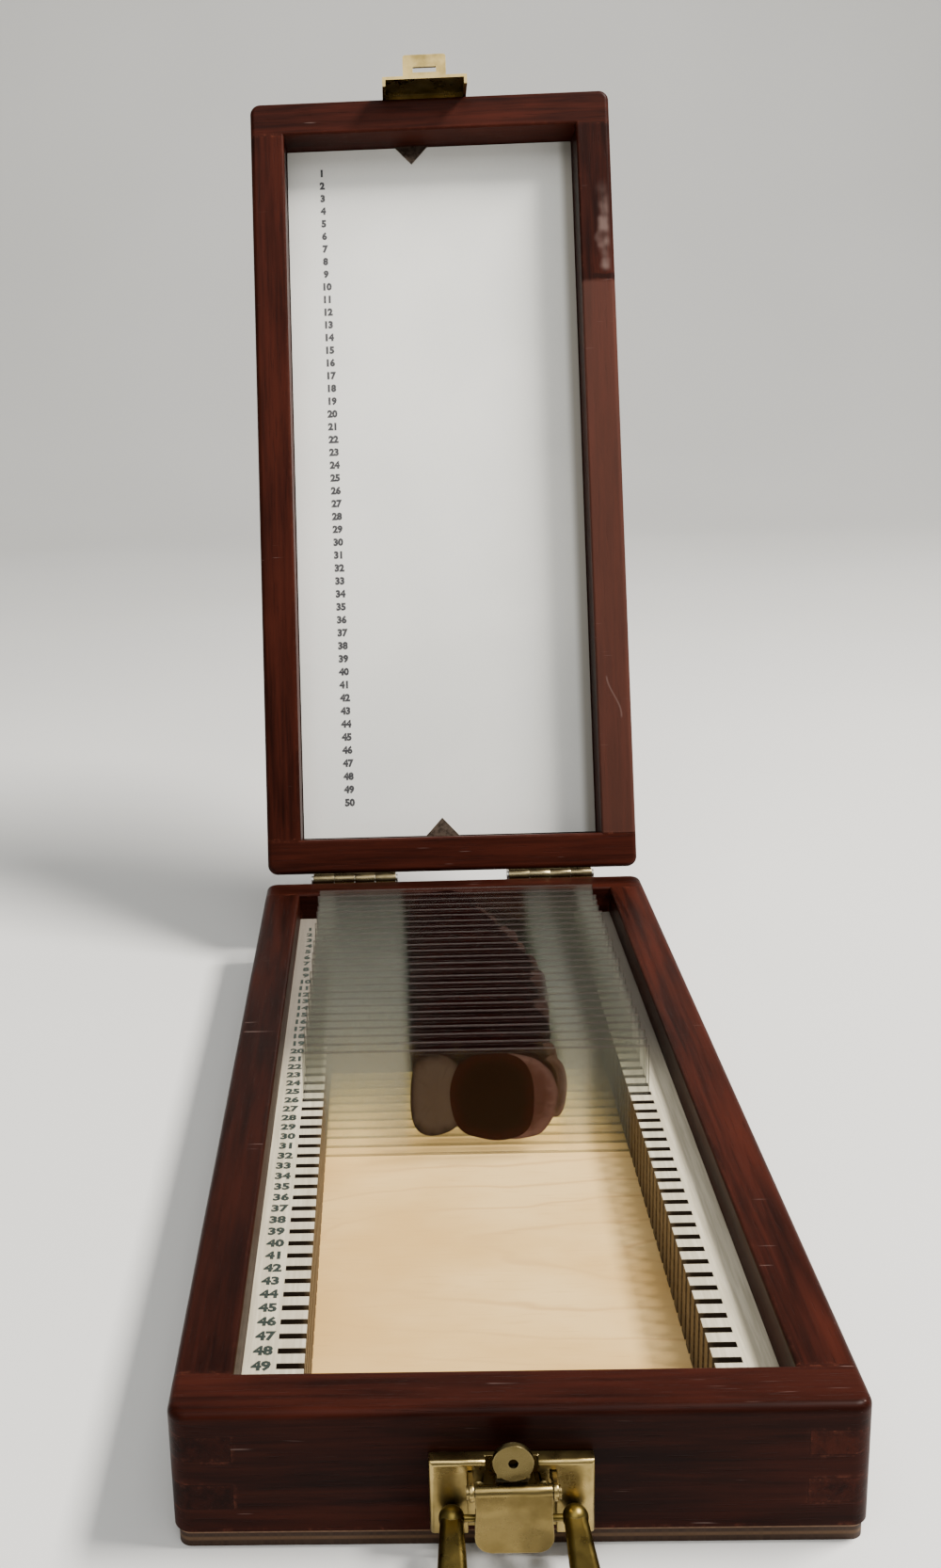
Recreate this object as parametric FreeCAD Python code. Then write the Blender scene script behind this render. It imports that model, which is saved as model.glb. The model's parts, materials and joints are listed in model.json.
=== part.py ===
"""Wooden storage box for microscope slides, with a hinged lid, fifty numbered slots and a brass draw latch.

Millimetres. The origin is the centre of the box's underside on the table: +X is to the right,
+Y to the back (hinge side) and +Z up. The lid stands open, the latch hangs unhooked, and glass
slides fill the slots from the back to the middle.
"""
import FreeCAD, Part
import math
import os

V = FreeCAD.Vector

# ---- driving dimensions -------------------------------------------------------------------
BOX_W = 108.0            # outside width, X
BOX_L = 232.5            # outside length, Y
RIM_Z = 24.6             # height of the base's rim above the table
WALL = 9.8               # thickness of the base's walls
PLY = 3.2                # plywood bottom, its top face is the floor that the slides stand on
PLY_INSET = 0.7          # how far the plywood stays inside the walls' outer faces
CORNER_R = 3.0           # rounding of the vertical corners
EDGE_R = 1.4             # rounding of the outer rims
INNER_R = 0.7            # rounding of the inner rims
FINGERS = 5              # box-joint fingers up a corner of the base
LID_FINGERS = 3          # the same on the lid

LID_GAP = 0.2            # daylight between the two rims when shut
LID_RAIL = 10.0          # width of the lid's rails
LID_RAIL_H = 13.0        # height of the lid's rails
LID_PANEL_T = 3.2        # thickness of the lid's top panel
LID_OPEN = 108.0         # opening angle, degrees
CARD_T = 0.4             # index card glued under the lid's panel
POINT = (10.4, 5.6, 0.5)  # width, length, thickness of a card retaining point
POINT_X = {1: -5.4, -1: -2.0}    # the points' middles, by which way they point along Y

SLOTS = 50
SLOT_PITCH = 4.02
SLOT_W = 1.45            # width of a slot along Y
SLOT_FRONT = 17.3        # slot 50's middle, from the box's front face
RACK_TOP = 17.2          # height of the racks above the table
RACK_IN = 33.8           # half gap between the racks
SLOT_END = 38.5          # half distance between the blind ends of a pair of slots

SLIDE = (76.2, 1.0, 25.4)        # glass slide, 3 x 1 in
COVER = (32.0, 0.17, 24.0)       # cover slip over the stained section
COVER_X = 2.2                    # the cover slip's middle, right of the slide's middle
SLIDES = 26                      # slots 1 to 26 are filled

HINGE_X = 28.5           # half distance between the hinges
HINGE_W = 24.0
HINGE_LEAF = (9.0, 0.8)  # height and thickness of a leaf
PIN_OUT = 1.7            # pin axis behind the back face
KNUCKLE_R = 1.6
KNUCKLES = 4
HINGE_PIN_R = 0.75
STOP_TAIL = (4.6, 0.9)   # reach below the pin and thickness of the tail that stops the open lid
SCREW_R, SCREW_HEAD_R, SCREW_L = 0.8, 1.5, 6.5

LATCH_X = -1.2           # the latch's middle
PLATE_HW = 12.6          # half width of the latch's base plate and of the strike
PLATE_Z = (4.6, 17.3)
PLATE_DEPTH = 2.4        # how far the base plate stands off the box
SHEET = 0.9              # brass sheet
MOUTH_HW = 6.75          # half width of the base plate's mouth
NOTCH_HW = 4.0           # half width of the notch over the mouth
EYE_R, EYE_HOLE_R, EYE_T = 3.1, 0.75, 1.0
EYE_NECK_HW = 2.5        # half width of the tongue under the eye
EYE_OUT, EYE_Z = 5.0, 19.5
LEVER_PIN = (5.6, 14.6)  # outward distance and height of the lever's pin
LEVER_R = 1.1
LEVER_HW = (5.75, 5.95)  # half width of the lever at its barrel and at its free end
LEVER_END = 4.7          # height of the lever's free end
EAR_HW = (5.95, 6.7)
BAIL_PIN = (4.6, 9.2)
BAIL_X = 9.35            # half distance between the bail's ball ends
BALL_R = 2.0
BAIL_L = 10.82           # from the bail's pin to its cross bar
BAIL_BAR_R = 1.1
ARM_HW = (1.75, 2.35)    # half width of the bail's arm at its ball end and at its cross bar
ARM_T = 2.6              # thickness of the bail's arm
ARM_FLARE = 0.4          # how much further out the arm is at the cross bar
BAIL_REST = -6.0         # the unhooked bail's angle below level, degrees
TAB_HW = 6.4             # half width of the strike's slotted tab
TAB_Z = 17.5             # underside of the tab when shut
TAB_OUT = 9.6            # the tab's tip, outward from the front face
HOOD_OUT = 3.2           # front of the strike's hood
HOOD_TOP = 29.0          # where the hood steps back to the lid's face
STRIKE_TOP = 36.0
FLOAT = 0.3              # how far the hood's side flanges stay off the wood

FRONT = -BOX_L / 2
BACK = BOX_L / 2
HINGE_AXIS = V(0, BACK + PIN_OUT, RIM_Z + LID_GAP / 2)
LID_Z = RIM_Z + LID_GAP
LID_TOP = LID_Z + LID_RAIL_H
INNER_HW = BOX_W / 2 - WALL
X_AXIS, Y_AXIS, Z_AXIS = V(1, 0, 0), V(0, 1, 0), V(0, 0, 1)


# ---- small helpers ------------------------------------------------------------------------
def box(x0, x1, y0, y1, z0, z1):
    return Part.makeBox(x1 - x0, y1 - y0, z1 - z0, V(x0, y0, z0))


def cyl(radius, start, direction, length):
    return Part.makeCylinder(radius, length, start, direction)


def fuse(shapes):
    shapes = list(shapes)
    return shapes[0].multiFuse(shapes[1:]).removeSplitter()


def latch_box(x0, x1, out0, out1, z0, z1):
    """A box in the latch's own terms: across, outward from the front face, and up."""
    return box(LATCH_X + x0, LATCH_X + x1, FRONT - out1, FRONT - out0, z0, z1)


def latch_profile(points, x0, x1):
    """A closed outline of (outward, height) points, drawn across from x0 to x1."""
    wire = Part.makePolygon([V(LATCH_X + x0, FRONT - o, z) for o, z in points + points[:1]])
    return Part.Face(wire).extrude(V(x1 - x0, 0, 0))


def latch_pin(radius, place, x0, x1):
    return cyl(radius, V(LATCH_X + x0, FRONT - place[0], place[1]), X_AXIS, x1 - x0)


def edges_where(shape, test):
    return [e for e in shape.Edges if test(e.BoundBox)]


def rounded_block(half_w, half_l, z0, z1, radius):
    block = box(-half_w, half_w, -half_l, half_l, z0, z1)
    return block.makeFillet(radius, edges_where(block, lambda b: b.ZLength > 0.5 * (z1 - z0)))


def ring(rail, z0, z1, rim_z, far_z):
    """The four walls in one piece: rounded outside, with a softer inner edge at the rim."""
    outer = rounded_block(BOX_W / 2, BOX_L / 2, z0, z1, CORNER_R)
    rims = edges_where(outer, lambda b: b.ZLength < 0.01 and abs(b.ZMin - rim_z) < 0.01)
    outer = outer.makeFillet(EDGE_R, rims)
    if far_z is not None:
        rims = edges_where(outer, lambda b: b.ZLength < 0.01 and abs(b.ZMin - far_z) < 0.01)
        outer = outer.makeFillet(EDGE_R * 0.7, rims)
    hollow = box(-BOX_W / 2 + rail, BOX_W / 2 - rail, FRONT + rail, BACK - rail, z0 - 1, z1 + 1)
    walls = outer.cut(hollow)
    inner = edges_where(walls, lambda b: b.ZLength < 0.01 and abs(b.ZMin - rim_z) < 0.01
                        and abs(b.XMax) < BOX_W / 2 - rail + 0.1 and abs(b.XMin) < BOX_W / 2 - rail + 0.1
                        and abs(b.YMax) < BACK - rail + 0.1 and abs(b.YMin) < BACK - rail + 0.1)
    return walls.makeFillet(INNER_R, inner)


def split_walls(walls, rail, z0, z1, fingers):
    """Cut a ring into front, back, left and right, interlocked by box joints at the corners."""
    step = (z1 - z0) / fingers
    side_fingers = []
    for sx in (-1, 1):
        for sy in (-1, 1):
            xs = sorted((sx * BOX_W / 2, sx * (BOX_W / 2 - rail)))
            ys = sorted((sy * BOX_L / 2, sy * (BOX_L / 2 - rail)))
            for i in range(1, fingers, 2):
                side_fingers.append((sx, box(*xs, *ys, z0 + i * step, z0 + (i + 1) * step)))
    pieces = {}
    for name, sx in (("left", -1), ("right", 1)):
        xs = sorted((sx * BOX_W / 2, sx * (BOX_W / 2 - rail)))
        plank = box(*xs, FRONT + rail, BACK - rail, z0, z1)
        zone = fuse([plank] + [f for side, f in side_fingers if side == sx])
        pieces[name] = walls.common(zone)
    for name, ys in (("front", (FRONT, FRONT + rail)), ("back", (BACK - rail, BACK))):
        zone = box(-BOX_W / 2, BOX_W / 2, *ys, z0, z1).cut(Part.makeCompound([f for _, f in side_fingers]))
        pieces[name] = walls.common(zone)
    return pieces


def slot_y(number):
    return FRONT + SLOT_FRONT + (SLOTS - number) * SLOT_PITCH


def open_lid(shape):
    """Swing a piece that was modelled with the lid shut to where it stands with the lid open."""
    turned = shape.copy()
    turned.rotate(HINGE_AXIS, X_AXIS, -LID_OPEN)
    return turned


# ---- base ---------------------------------------------------------------------------------
def rack(side):
    """A comb: an outer spine against the wall, and slots that are open to the middle."""
    y0, y1 = FRONT + WALL, BACK - WALL
    xs = sorted((side * RACK_IN, side * INNER_HW))
    strip = box(*xs, y0, y1, PLY, RACK_TOP)
    slot_xs = sorted((side * (RACK_IN - 1), side * SLOT_END))
    slots = [box(*slot_xs, slot_y(n) - SLOT_W / 2, slot_y(n) + SLOT_W / 2, PLY - 1, RACK_TOP + 1)
             for n in range(1, SLOTS + 1)]
    return strip.cut(Part.makeCompound(slots))


def brad_places():
    """Brads up through the plywood into the walls."""
    x, y = BOX_W / 2 - WALL / 2, BOX_L / 2 - WALL / 2
    along = [(sx * x, f * y) for sx in (-1, 1) for f in (-0.78, -0.26, 0.26, 0.78)]
    return along + [(sx * 0.35 * x, sy * y) for sx in (-1, 1) for sy in (-1, 1)]


def brad(x, y, grow=0.0):
    head = cyl(1.1 + grow, V(x, y, 0), Z_AXIS, 0.6)
    return head.fuse(cyl(0.6 + grow, V(x, y, 0), Z_AXIS, 12.0)).removeSplitter()


def base_parts():
    walls = split_walls(ring(WALL, PLY, RIM_Z, RIM_Z, None), WALL, PLY, RIM_Z, FINGERS)
    bottom = rounded_block(BOX_W / 2 - PLY_INSET, BOX_L / 2 - PLY_INSET, 0, PLY, CORNER_R - 1)
    holes = Part.makeCompound([brad(x, y, 0.05) for x, y in brad_places()])
    pin_holes = Part.makeCompound([latch_nail(x, z, 0.05) for x, z in PLATE_NAILS])
    screw_holes = Part.makeCompound([screw(x, z, 0.05) for x, z in screw_places(-1)])
    parts = {"base_" + side: wall.cut(holes) for side, wall in walls.items()}
    parts["base_front"] = parts["base_front"].cut(pin_holes)
    parts["base_back"] = parts["base_back"].cut(screw_holes)
    parts["base_bottom"] = bottom.cut(holes)
    parts["bottom_brads"] = Part.makeCompound([brad(x, y) for x, y in brad_places()])
    parts["rack_left"] = rack(-1)
    parts["rack_right"] = rack(1)
    return parts


# ---- hinges: butt hinges screwed to the outside of the back -------------------------------
def screw_places(leaf):
    """Screw centres of the lower (-1) or upper (+1) leaves."""
    z = HINGE_AXIS.z + leaf * (KNUCKLE_R + 0.6 * HINGE_LEAF[0])
    return [(sx * HINGE_X + dx, z) for sx in (-1, 1) for dx in (-8.0, 0.0, 8.0)]


def screw(x, z, grow=0.0, slotted=False):
    """Countersunk screw, driven from behind with its head flush with the leaf."""
    top = BACK + HINGE_LEAF[1]
    cone = Part.makeCone(SCREW_HEAD_R + grow, SCREW_R + grow, 0.7, V(x, top, z), V(0, -1, 0))
    shank = cyl(SCREW_R + grow, V(x, top - 0.7, z), V(0, -1, 0), SCREW_L)
    whole = cone.fuse(shank).removeSplitter()
    if slotted:
        whole = whole.cut(box(x - 2, x + 2, top - 0.3, top + 1, z - 0.2, z + 0.2))
    return whole


def hinge_leaf(centre, leaf):
    """One leaf with its share of the knuckles; leaf is -1 for the lower, +1 for the upper."""
    x0 = centre - HINGE_W / 2
    z_axis = HINGE_AXIS.z
    inner = z_axis + leaf * 0.5
    outer = z_axis + leaf * (KNUCKLE_R + HINGE_LEAF[0])
    plate = box(x0, x0 + HINGE_W, BACK, BACK + HINGE_LEAF[1], *sorted((inner, outer)))
    corners = edges_where(plate, lambda b: b.XLength < 0.01 and b.ZLength < 0.01 and abs(b.ZMin - outer) < 0.01)
    plate = plate.makeFillet(1.2, corners)
    step = HINGE_W / KNUCKLES
    clear = 0.08
    for i in range(KNUCKLES):
        lo, hi = x0 + i * step + clear, x0 + (i + 1) * step - clear
        lo = x0 if i == 0 else lo
        hi = x0 + HINGE_W if i == KNUCKLES - 1 else hi
        mine = (i % 2 == 0) == (leaf > 0)
        if mine:
            plate = plate.fuse(cyl(KNUCKLE_R, V(lo, HINGE_AXIS.y, z_axis), X_AXIS, hi - lo))
        else:
            plate = plate.cut(cyl(KNUCKLE_R + 0.12, V(lo - 2 * clear, HINGE_AXIS.y, z_axis), X_AXIS,
                                  hi - lo + 4 * clear))
    plate = plate.cut(cyl(HINGE_PIN_R + 0.04, V(x0 - 1, HINGE_AXIS.y, z_axis), X_AXIS, HINGE_W + 2))
    holes = Part.makeCompound([screw(x, z, 0.05) for x, z in screw_places(leaf) if abs(x - centre) < HINGE_W])
    return plate.cut(holes).removeSplitter()


def stop_tail(centre):
    """A tail on the upper leaf's first knuckle: with the lid open it lies on the lower leaf."""
    reach, thick = STOP_TAIL
    x0 = centre - HINGE_W / 2
    y0 = BACK + HINGE_LEAF[1] + 0.03
    return box(x0, x0 + HINGE_W / KNUCKLES - 0.08, y0, y0 + thick, HINGE_AXIS.z - reach, HINGE_AXIS.z)


def hinge_pin(centre):
    """The pin, with a low head at each end."""
    start = V(centre - HINGE_W / 2 - 0.1, HINGE_AXIS.y, HINGE_AXIS.z)
    pin = cyl(HINGE_PIN_R, start, X_AXIS, HINGE_W + 0.2)
    heads = [cyl(1.2, start + V(dx, 0, 0), X_AXIS, 0.5) for dx in (-0.5, HINGE_W + 0.2)]
    return fuse([pin] + heads)


def hinge_parts():
    parts = {}
    for side, sx in (("left", -1), ("right", 1)):
        parts["hinge_lower_" + side] = hinge_leaf(sx * HINGE_X, -1)
        bore = cyl(HINGE_PIN_R + 0.04, HINGE_AXIS + V(sx * HINGE_X - HINGE_W, 0, 0), X_AXIS, 2 * HINGE_W)
        upper = open_lid(hinge_leaf(sx * HINGE_X, 1)).fuse(stop_tail(sx * HINGE_X))
        parts["hinge_upper_" + side] = upper.cut(bore).removeSplitter()
        parts["hinge_pin_" + side] = hinge_pin(sx * HINGE_X)
    parts["hinge_screws_lower"] = Part.makeCompound([screw(x, z, slotted=True) for x, z in screw_places(-1)])
    parts["hinge_screws_upper"] = open_lid(
        Part.makeCompound([screw(x, z, slotted=True) for x, z in screw_places(1)]))
    return parts


# ---- lid, modelled shut and then opened ---------------------------------------------------
def card_point(y, tip):
    """A thin triangular point, driven into a rail and lying over the card's edge."""
    half, length, thick = POINT[0] / 2, POINT[1], POINT[2]
    z = LID_TOP - CARD_T - thick
    x = POINT_X[tip]
    outline = Part.makePolygon([V(x - half, y, z), V(x + half, y, z), V(x, y + tip * length, z), V(x - half, y, z)])
    return Part.Face(outline).extrude(V(0, 0, thick))


def lid_parts():
    walls = split_walls(ring(LID_RAIL, LID_Z, LID_TOP, LID_Z, None), LID_RAIL, LID_Z, LID_TOP, LID_FINGERS)
    strike_holes = Part.makeCompound([latch_nail(x, z, 0.05) for x, z in STRIKE_NAILS])
    screw_holes = Part.makeCompound([screw(x, z, 0.05) for x, z in screw_places(1)])
    walls["front"] = walls["front"].cut(strike_holes)
    walls["back"] = walls["back"].cut(screw_holes)
    panel = rounded_block(BOX_W / 2, BOX_L / 2, LID_TOP, LID_TOP + LID_PANEL_T, CORNER_R)
    rims = edges_where(panel, lambda b: b.ZLength < 0.01 and abs(b.ZMin - LID_TOP - LID_PANEL_T) < 0.01)
    panel = panel.makeFillet(EDGE_R, rims)
    hw, hl = BOX_W / 2 - LID_RAIL, BOX_L / 2 - LID_RAIL
    card = box(-hw + 0.3, hw - 0.3, -hl + 0.3, hl - 0.3, LID_TOP - CARD_T, LID_TOP)
    points = Part.makeCompound([card_point(-hl, 1), card_point(hl, -1)])
    shut = {"lid_" + side: wall for side, wall in walls.items()}
    shut.update(lid_panel=panel, index_card=card, card_points=points)
    shut.update(strike_parts())
    return {name: open_lid(shape) for name, shape in shut.items()}


# ---- strike: the latch's half on the lid --------------------------------------------------
PLATE_NAILS = [(-5.0, 11.6), (5.0, 11.6), (-3.6, 7.0), (3.6, 7.0)]
STRIKE_NAILS = [(-9.0, 33.0), (0.0, 33.0), (9.0, 33.0)]


def latch_nail(x, z, grow=0.0):
    """A round-headed pin driven into the wood through a brass plate."""
    out = SHEET
    shank = cyl(0.55 + grow, V(LATCH_X + x, FRONT - out, z), Y_AXIS, 7.0)
    if grow:
        return shank
    head = Part.makeSphere(1.5, V(LATCH_X + x, FRONT - out + 1.05, z))
    head = head.common(latch_box(x - 2, x + 2, out + 0.02, out + 1, z - 2, z + 2))
    return shank.fuse(head.fuse(cyl(0.55, V(LATCH_X + x, FRONT - out - 0.1, z), Y_AXIS, 1.0))).removeSplitter()


def strike_parts():
    """A flat plate nailed to the lid, a hood that hangs over the joint, and a slotted tab."""
    flat = latch_box(-PLATE_HW, PLATE_HW, 0, SHEET, HOOD_TOP - SHEET, STRIKE_TOP)
    top_corners = edges_where(flat, lambda b: b.XLength < 0.01 and b.ZLength < 0.01 and b.ZMin > STRIKE_TOP - 0.01)
    flat = flat.makeFillet(2.5, top_corners)
    step = latch_box(-PLATE_HW, PLATE_HW, 0, HOOD_OUT, HOOD_TOP - SHEET, HOOD_TOP)
    face = latch_box(-PLATE_HW, PLATE_HW, HOOD_OUT - SHEET, HOOD_OUT, TAB_Z, HOOD_TOP)
    sides = [latch_box(x0, x0 + SHEET, FLOAT, HOOD_OUT, TAB_Z, HOOD_TOP) for x0 in (-PLATE_HW, PLATE_HW - SHEET)]
    tab = latch_box(-TAB_HW, TAB_HW, HOOD_OUT - SHEET, TAB_OUT, TAB_Z, TAB_Z + 1.0)
    tab_corners = edges_where(tab, lambda b: b.ZLength > 0.9 and abs(b.YMin - (FRONT - TAB_OUT)) < 0.01)
    tab = tab.makeFillet(0.8, tab_corners)
    slot = latch_box(-EYE_R - 0.35, EYE_R + 0.35, EYE_OUT - EYE_T / 2 - 0.35, EYE_OUT + EYE_T / 2 + 0.35, TAB_Z - 1,
                     TAB_Z + 2)
    strike = fuse([flat, step, face, tab] + sides).cut(slot)
    strike = strike.cut(Part.makeCompound([latch_nail(x, z, 0.05) for x, z in STRIKE_NAILS]))
    nails = Part.makeCompound([latch_nail(x, z) for x, z in STRIKE_NAILS])
    return {"latch_strike": strike, "strike_nails": nails}


# ---- latch on the base --------------------------------------------------------------------
def latch_plate():
    """A shallow pressed pan, open below, with a mouth for the lever and ears for its pin."""
    z0, z1 = PLATE_Z
    pan = latch_box(-PLATE_HW, PLATE_HW, 0, PLATE_DEPTH, z0, z1)
    crown = edges_where(pan, lambda b: abs(b.YMin - (FRONT - PLATE_DEPTH)) < 0.01 and b.YLength < 0.01
                        and not (b.XLength > 1 and b.ZMin < z0 + 0.01))
    pan = pan.makeFillet(0.7, crown)
    hollow = latch_box(-PLATE_HW + SHEET, PLATE_HW - SHEET, SHEET, PLATE_DEPTH - SHEET + 0.1, z0 - 1, z1 - SHEET)
    mouth = latch_box(-MOUTH_HW, MOUTH_HW, SHEET, PLATE_DEPTH + 1, z0 - 1, z1 - 1.4)
    notch = latch_box(-NOTCH_HW, NOTCH_HW, SHEET, PLATE_DEPTH + 1, z1 - 3, z1 + 1)
    pan = pan.cut(hollow).cut(mouth).cut(notch)
    ears = []
    for side in (-1, 1):
        x0, x1 = sorted((side * EAR_HW[0], side * EAR_HW[1]))
        foot = latch_box(x0, x1, SHEET - 0.2, LEVER_PIN[0], LEVER_PIN[1] - 1.5, LEVER_PIN[1] + 1.1)
        ears += [foot, latch_pin(1.3, LEVER_PIN, x0, x1)]
    pan = fuse([pan] + ears)
    pan = pan.cut(latch_pin(0.6 + 0.04, LEVER_PIN, -8, 8))
    return pan.cut(Part.makeCompound([latch_nail(x, z, 0.05) for x, z in PLATE_NAILS]))


def latch_eye():
    """A pierced tongue that rises from the pan and steps out, for the tab's slot and a padlock."""
    half = EYE_T / 2
    foot_out, jog = SHEET + half, 13.6
    rise = EYE_OUT - foot_out
    path = [(foot_out - half, 9.6), (foot_out + half, 9.6), (foot_out + half, jog - 0.2),
            (EYE_OUT + half, jog + rise - 0.2), (EYE_OUT + half, EYE_Z), (EYE_OUT - half, EYE_Z),
            (EYE_OUT - half, jog + rise + 0.2), (foot_out - half, jog + 0.2)]
    tongue = latch_profile(path, -EYE_NECK_HW, EYE_NECK_HW)
    disc = cyl(EYE_R, V(LATCH_X, FRONT - EYE_OUT - half, EYE_Z), Y_AXIS, EYE_T)
    hole = cyl(EYE_HOLE_R, V(LATCH_X, FRONT - EYE_OUT - 2, EYE_Z), Y_AXIS, 4)
    return fuse([tongue, disc]).cut(hole)


def latch_lever():
    """A flared thumb plate on a rolled barrel, with side flanges that carry the bail."""
    pin_out, pin_z = LEVER_PIN
    top, end = LEVER_HW
    back, front = pin_out + 0.1, pin_out + LEVER_R
    outline = Part.makePolygon([V(LATCH_X + x, FRONT - front, z) for x, z in (
        (-top, pin_z), (-top, pin_z - 3.0), (-end, LEVER_END + 3.0), (-end, LEVER_END), (end, LEVER_END),
        (end, LEVER_END + 3.0), (top, pin_z - 3.0), (top, pin_z), (-top, pin_z))])
    plate = Part.Face(outline).extrude(V(0, front - back, 0))
    corners = edges_where(plate, lambda b: b.ZLength < 0.01 and b.XLength < 0.01 and abs(b.ZMin - LEVER_END) < 0.01)
    plate = plate.makeFillet(2.6, corners)
    barrel = latch_pin(LEVER_R, LEVER_PIN, -top, top)
    out, z = BAIL_PIN
    flanges = []
    for side in (-1, 1):
        x0, x1 = sorted((side * (top - 0.8), side * top))
        flanges += [latch_box(x0, x1, out, back + 0.3, z - 1.3, z + 1.6), latch_pin(1.3, BAIL_PIN, x0, x1)]
    lever = fuse([plate, barrel] + flanges)
    return lever.cut(latch_pin(0.6 + 0.04, LEVER_PIN, -8, 8)).cut(latch_pin(0.55 + 0.04, BAIL_PIN, -12, 12))


def bail_arm(side):
    """A strap with rounded edges, wider and a little further out at the cross bar."""
    near, far = ARM_HW
    x0 = LATCH_X + side * BAIL_X
    x1 = x0 + side * ARM_FLARE
    y0 = FRONT - BAIL_PIN[0]
    y1 = y0 - BAIL_L - BAIL_BAR_R
    z = BAIL_PIN[1] - ARM_T / 2
    corners = [V(x0 - near, y0, z), V(x0 + near, y0, z), V(x1 + far, y1, z), V(x1 - far, y1, z)]
    arm = Part.Face(Part.makePolygon(corners + corners[:1])).extrude(V(0, 0, ARM_T))
    return arm.makeFillet(1.1, edges_where(arm, lambda b: b.YMin < y1 + 0.01))


def latch_bail():
    """Two arms with ball ends and a cross bar. Modelled level, then dropped to its rest angle."""
    out, z = BAIL_PIN
    solids = [latch_pin(BAIL_BAR_R, (out + BAIL_L, z), -BAIL_X, BAIL_X)]
    for side in (-1, 1):
        solids.append(Part.makeSphere(BALL_R, V(LATCH_X + side * BAIL_X, FRONT - out, z)))
        solids.append(bail_arm(side))
    bail = fuse(solids)
    sockets = [latch_pin(0.55 + 0.04, BAIL_PIN, *sorted((side * (BAIL_X - 3), side * (BAIL_X + 0.6))))
               for side in (-1, 1)]
    bail = bail.cut(Part.makeCompound(sockets))
    bail.rotate(V(0, FRONT - out, z), X_AXIS, -BAIL_REST)
    return bail


def latch_parts():
    rivets = []
    for side in (-1, 1):
        span = sorted((side * (LEVER_HW[0] - 1.1), side * (BAIL_X + 0.4)))
        head = sorted((side * (LEVER_HW[0] - 0.85), side * (LEVER_HW[0] - 1.25)))
        rivets.append(latch_pin(0.55, BAIL_PIN, *span).fuse(latch_pin(1.0, BAIL_PIN, *head)).removeSplitter())
    pin_head = LEVER_PIN[0], LEVER_PIN[1]
    pin = fuse([latch_pin(0.6, pin_head, -7.0, 7.0)] + [latch_pin(1.0, pin_head, *sorted((s * 6.75, s * 7.1)))
                                                       for s in (-1, 1)])
    return {
        "latch_plate": latch_plate(),
        "latch_eye": latch_eye(),
        "latch_lever": latch_lever(),
        "lever_pin": pin,
        "latch_bail": latch_bail(),
        "bail_rivets": Part.makeCompound(rivets),
        "plate_nails": Part.makeCompound([latch_nail(x, z) for x, z in PLATE_NAILS]),
    }


# ---- slides -------------------------------------------------------------------------------
def slide_part(number):
    """A glass slide with its cover slip, standing on the floor; each sits a little differently."""
    dx = 0.22 * math.sin(2.4 * number)
    dy = 0.10 * math.sin(1.7 * number)
    y = slot_y(number) + dy
    w, t, h = SLIDE
    glass = box(dx - w / 2, dx + w / 2, y - t / 2, y + t / 2, PLY + 0.02, PLY + 0.02 + h)
    cw, ct, ch = COVER
    x = dx + COVER_X
    z = PLY + (h - ch) / 2
    return glass.fuse(box(x - cw / 2, x + cw / 2, y - t / 2 - ct, y - t / 2, z, z + ch))


def main():
    parts = {}
    for group in (base_parts(), hinge_parts(), latch_parts(), lid_parts()):
        parts.update(group)
    for number in range(1, SLIDES + 1):
        parts["slide_%02d" % number] = slide_part(number)
    os.makedirs("parts", exist_ok=True)
    for name, shape in parts.items():
        shape.exportStep(os.path.join("parts", name + ".step"))
        solids = shape.Solids
        print(name, len(solids), "valid" if shape.isValid() else "INVALID",
              "%.1f mm3" % sum(s.Volume for s in solids))


main()
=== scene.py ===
"""Looks of the slide box: stained wood, birch floor, numbered racks, brass latch and glass slides."""
import json
import math
import random

import bmesh
import bpy
from mathutils import Matrix, Vector


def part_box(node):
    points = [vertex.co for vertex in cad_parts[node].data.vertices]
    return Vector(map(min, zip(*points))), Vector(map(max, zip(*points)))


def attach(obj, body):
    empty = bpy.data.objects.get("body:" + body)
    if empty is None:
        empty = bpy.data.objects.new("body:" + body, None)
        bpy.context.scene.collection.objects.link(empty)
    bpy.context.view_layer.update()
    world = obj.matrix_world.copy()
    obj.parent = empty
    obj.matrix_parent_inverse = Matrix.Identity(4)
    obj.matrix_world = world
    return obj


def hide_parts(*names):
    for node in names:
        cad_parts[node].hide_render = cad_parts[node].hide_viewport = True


MM = 0.001
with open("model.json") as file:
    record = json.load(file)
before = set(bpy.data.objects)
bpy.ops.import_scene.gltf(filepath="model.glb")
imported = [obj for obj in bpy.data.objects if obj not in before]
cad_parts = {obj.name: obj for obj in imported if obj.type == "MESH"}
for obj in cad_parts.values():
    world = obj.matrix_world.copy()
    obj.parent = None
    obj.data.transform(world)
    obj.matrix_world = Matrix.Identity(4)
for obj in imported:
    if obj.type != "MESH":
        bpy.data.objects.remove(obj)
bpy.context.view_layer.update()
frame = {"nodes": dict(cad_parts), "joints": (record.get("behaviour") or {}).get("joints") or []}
nodes = frame["nodes"]
joints = {joint["name"]: joint for joint in frame["joints"]}

# ---- places, from the frame ---------------------------------------------------------------
FRONT_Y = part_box("base_front")[0].y
RACK_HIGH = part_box("rack_left")[1]
RACK_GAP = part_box("rack_right")[0].x
RIM_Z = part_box("base_right")[1].z
CARD_EDGE_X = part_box("index_card")[1].x
HINGE = Vector(joints["lid_hinge"]["pos_m"])
LID_ANGLE = math.radians(joints["lid_hinge"]["range_deg"][1])
SLIDE_NAMES = sorted(name for name in nodes if name.startswith("slide_"))
LAST_SLIDE_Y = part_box(SLIDE_NAMES[-1])[0].y

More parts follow.
